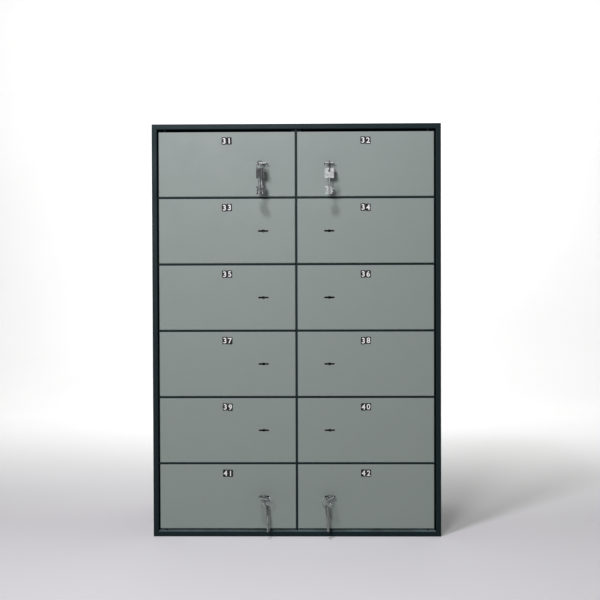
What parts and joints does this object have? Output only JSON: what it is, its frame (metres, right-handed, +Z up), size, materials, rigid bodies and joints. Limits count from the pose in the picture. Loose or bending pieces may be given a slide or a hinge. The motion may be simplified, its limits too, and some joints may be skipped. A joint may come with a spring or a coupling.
{
  "type": "locker bank",
  "caption": "Wall bank of small lever-lock lockers in two columns: flush folded-steel doors on concealed pin hinges, number tiles, keys with rings in some locks",
  "frame": {"origin": "middle of the underside of the base", "axes": "+Z up, +X to the right of a person facing the doors, doors facing -Y"},
  "size_m": [0.66, 0.4949, 0.945],
  "materials": {
    "carcass_paint": "dark slate-grey powder paint, fine grain, semi-matt",
    "door_paint": "grey-green powder paint, fine orange-peel grain, semi-matt",
    "lock_steel": "zinc-plated pressed steel",
    "bolt_brass": "machined brass, lightly tarnished",
    "key_nickel": "nickel-plated steel, worn from use",
    "ring_steel": "bright spring-steel wire"
  },
  "bodies": {
    "cabinet": {"base_panel": "carcass_paint", "top_panel": "carcass_paint", "left_side": "carcass_paint", "right_side": "carcass_paint", "back_panel": "carcass_paint", "centre_divider": "carcass_paint", "shelf_1": "carcass_paint", "shelf_2": "carcass_paint", "shelf_3": "carcass_paint", "shelf_4": "carcass_paint", "shelf_5": "carcass_paint"},
    "door_31": {"door_31": "door_paint", "lock_31": "lock_steel"},
    "bolt_31": {"bolt_31": "bolt_brass"},
    "key_31": {"key_31": "key_nickel"},
    "ring_31": {"ring_31": "ring_steel"},
    "spare_key_31a": {"spare_key_31a": "key_nickel"},
    "spare_key_31b": {"spare_key_31b": "key_nickel"},
    "door_32": {"door_32": "door_paint", "lock_32": "lock_steel"},
    "bolt_32": {"bolt_32": "bolt_brass"},
    "key_32": {"key_32": "key_nickel"},
    "ring_32": {"ring_32": "ring_steel"},
    "spare_key_32": {"spare_key_32": "key_nickel"},
    "door_33": {"door_33": "door_paint", "lock_33": "lock_steel"},
    "bolt_33": {"bolt_33": "bolt_brass"},
    "door_34": {"door_34": "door_paint", "lock_34": "lock_steel"},
    "bolt_34": {"bolt_34": "bolt_brass"},
    "door_35": {"door_35": "door_paint", "lock_35": "lock_steel"},
    "bolt_35": {"bolt_35": "bolt_brass"},
    "door_36": {"door_36": "door_paint", "lock_36": "lock_steel"},
    "bolt_36": {"bolt_36": "bolt_brass"},
    "door_37": {"door_37": "door_paint", "lock_37": "lock_steel"},
    "bolt_37": {"bolt_37": "bolt_brass"},
    "door_38": {"door_38": "door_paint", "lock_38": "lock_steel"},
    "bolt_38": {"bolt_38": "bolt_brass"},
    "door_39": {"door_39": "door_paint", "lock_39": "lock_steel"},
    "bolt_39": {"bolt_39": "bolt_brass"},
    "door_40": {"door_40": "door_paint", "lock_40": "lock_steel"},
    "bolt_40": {"bolt_40": "bolt_brass"},
    "door_41": {"door_41": "door_paint", "lock_41": "lock_steel"},
    "bolt_41": {"bolt_41": "bolt_brass"},
    "key_41": {"key_41": "key_nickel"},
    "ring_41": {"ring_41": "ring_steel"},
    "spare_key_41": {"spare_key_41": "key_nickel"},
    "door_42": {"door_42": "door_paint", "lock_42": "lock_steel"},
    "bolt_42": {"bolt_42": "bolt_brass"},
    "key_42": {"key_42": "key_nickel"},
    "ring_42": {"ring_42": "ring_steel"},
    "spare_key_42": {"spare_key_42": "key_nickel"}
  },
  "joints": [
    {"name": "door_hinge_31", "type": "hinge", "parent": "cabinet", "child": "door_31", "pos_m": [-0.3003, -0.2185, 0.85283], "axis": [0, 0, -1], "range_deg": [0, 100]},
    {"name": "bolt_slide_31", "type": "slide", "parent": "door_31", "child": "bolt_31", "axis": [1, 0, 0], "range_m": [0, 0.01]},
    {"name": "key_turn_31", "type": "hinge", "parent": "door_31", "child": "key_31", "pos_m": [-0.0755, -0.224, 0.85283], "axis": [0, 1, 0], "range_deg": [0, 90]},
    {"name": "ring_swing_31", "type": "hinge", "parent": "key_31", "child": "ring_31", "pos_m": [-0.0755, -0.24975, 0.85283], "axis": [-0.6428, -0.766, 0], "range_deg": [-5, 15]},
    {"name": "spare_swing_31a", "type": "hinge", "parent": "ring_31", "child": "spare_key_31a", "pos_m": [-0.08226, -0.25781, 0.83576], "axis": [-0.788, -0.6157, 0], "range_deg": [-8, 20]},
    {"name": "spare_swing_31b", "type": "hinge", "parent": "ring_31", "child": "spare_key_31b", "pos_m": [-0.07892, -0.25383, 0.83595], "axis": [-0.788, -0.6157, 0], "range_deg": [-8, 20]},
    {"name": "door_hinge_32", "type": "hinge", "parent": "cabinet", "child": "door_32", "pos_m": [0.3003, -0.2185, 0.85283], "axis": [0, 0, 1], "range_deg": [0, 100]},
    {"name": "bolt_slide_32", "type": "slide", "parent": "door_32", "child": "bolt_32", "axis": [-1, 0, 0], "range_m": [0, 0.01]},
    {"name": "key_turn_32", "type": "hinge", "parent": "door_32", "child": "key_32", "pos_m": [0.0755, -0.224, 0.85283], "axis": [0, -1, 0], "range_deg": [0, 90]},
    {"name": "ring_swing_32", "type": "hinge", "parent": "key_32", "child": "ring_32", "pos_m": [0.0755, -0.24975, 0.85283], "axis": [0, -1, 0], "range_deg": [-20, 20]},
    {"name": "spare_swing_32", "type": "hinge", "parent": "ring_32", "child": "spare_key_32", "pos_m": [0.0755, -0.25807, 0.83553], "axis": [0, -1, 0], "range_deg": [-30, 30]},
    {"name": "door_hinge_33", "type": "hinge", "parent": "cabinet", "child": "door_33", "pos_m": [-0.3003, -0.2185, 0.7007], "axis": [0, 0, -1], "range_deg": [0, 100]},
    {"name": "bolt_slide_33", "type": "slide", "parent": "door_33", "child": "bolt_33", "axis": [1, 0, 0], "range_m": [0, 0.01]},
    {"name": "door_hinge_34", "type": "hinge", "parent": "cabinet", "child": "door_34", "pos_m": [0.3003, -0.2185, 0.7007], "axis": [0, 0, 1], "range_deg": [0, 100]},
    {"name": "bolt_slide_34", "type": "slide", "parent": "door_34", "child": "bolt_34", "axis": [-1, 0, 0], "range_m": [0, 0.01]},
    {"name": "door_hinge_35", "type": "hinge", "parent": "cabinet", "child": "door_35", "pos_m": [-0.3003, -0.2185, 0.54857], "axis": [0, 0, -1], "range_deg": [0, 100]},
    {"name": "bolt_slide_35", "type": "slide", "parent": "door_35", "child": "bolt_35", "axis": [1, 0, 0], "range_m": [0, 0.01]},
    {"name": "door_hinge_36", "type": "hinge", "parent": "cabinet", "child": "door_36", "pos_m": [0.3003, -0.2185, 0.54857], "axis": [0, 0, 1], "range_deg": [0, 100]},
    {"name": "bolt_slide_36", "type": "slide", "parent": "door_36", "child": "bolt_36", "axis": [-1, 0, 0], "range_m": [0, 0.01]},
    {"name": "door_hinge_37", "type": "hinge", "parent": "cabinet", "child": "door_37", "pos_m": [-0.3003, -0.2185, 0.39643], "axis": [0, 0, -1], "range_deg": [0, 100]},
    {"name": "bolt_slide_37", "type": "slide", "parent": "door_37", "child": "bolt_37", "axis": [1, 0, 0], "range_m": [0, 0.01]},
    {"name": "door_hinge_38", "type": "hinge", "parent": "cabinet", "child": "door_38", "pos_m": [0.3003, -0.2185, 0.39643], "axis": [0, 0, 1], "range_deg": [0, 100]},
    {"name": "bolt_slide_38", "type": "slide", "parent": "door_38", "child": "bolt_38", "axis": [-1, 0, 0], "range_m": [0, 0.01]},
    {"name": "door_hinge_39", "type": "hinge", "parent": "cabinet", "child": "door_39", "pos_m": [-0.3003, -0.2185, 0.2443], "axis": [0, 0, -1], "range_deg": [0, 100]},
    {"name": "bolt_slide_39", "type": "slide", "parent": "door_39", "child": "bolt_39", "axis": [1, 0, 0], "range_m": [0, 0.01]},
    {"name": "door_hinge_40", "type": "hinge", "parent": "cabinet", "child": "door_40", "pos_m": [0.3003, -0.2185, 0.2443], "axis": [0, 0, 1], "range_deg": [0, 100]},
    {"name": "bolt_slide_40", "type": "slide", "parent": "door_40", "child": "bolt_40", "axis": [-1, 0, 0], "range_m": [0, 0.01]},
    {"name": "door_hinge_41", "type": "hinge", "parent": "cabinet", "child": "door_41", "pos_m": [-0.3003, -0.2185, 0.09217], "axis": [0, 0, -1], "range_deg": [0, 100]},
    {"name": "bolt_slide_41", "type": "slide", "parent": "door_41", "child": "bolt_41", "axis": [1, 0, 0], "range_m": [-0.00089, 0.00911]},
    {"name": "key_turn_41", "type": "hinge", "parent": "door_41", "child": "key_41", "pos_m": [-0.0755, -0.224, 0.09217], "axis": [0, 1, 0], "range_deg": [-8, 82]},
    {"name": "ring_swing_41", "type": "hinge", "parent": "key_41", "child": "ring_41", "pos_m": [-0.0755, -0.24975, 0.09217], "axis": [-0.788, 0.6157, 0], "range_deg": [-5, 15]},
    {"name": "spare_swing_41", "type": "hinge", "parent": "ring_41", "child": "spare_key_41", "pos_m": [-0.06807, -0.25555, 0.07207], "axis": [-0.9781, 0.2079, 0], "range_deg": [-8, 35]},
    {"name": "door_hinge_42", "type": "hinge", "parent": "cabinet", "child": "door_42", "pos_m": [0.3003, -0.2185, 0.09217], "axis": [0, 0, 1], "range_deg": [0, 100]},
    {"name": "bolt_slide_42", "type": "slide", "parent": "door_42", "child": "bolt_42", "axis": [-1, 0, 0], "range_m": [-0.00278, 0.00722]},
    {"name": "key_turn_42", "type": "hinge", "parent": "door_42", "child": "key_42", "pos_m": [0.0755, -0.224, 0.09217], "axis": [0, -1, 0], "range_deg": [-25, 65]},
    {"name": "ring_swing_42", "type": "hinge", "parent": "key_42", "child": "ring_42", "pos_m": [0.0755, -0.24975, 0.09217], "axis": [-0.788, -0.6157, 0], "range_deg": [-5, 15]},
    {"name": "spare_swing_42", "type": "hinge", "parent": "ring_42", "child": "spare_key_42", "pos_m": [0.06807, -0.25555, 0.07207], "axis": [-0.9781, -0.2079, 0], "range_deg": [-8, 35]}
  ],
  "couplings": [
    {"joint": "key_turn_31", "follows": "bolt_slide_31", "rad_per_m": 157.08},
    {"joint": "key_turn_32", "follows": "bolt_slide_32", "rad_per_m": 157.08},
    {"joint": "key_turn_41", "follows": "bolt_slide_41", "rad_per_m": 157.08},
    {"joint": "key_turn_42", "follows": "bolt_slide_42", "rad_per_m": 157.08}
  ]
}
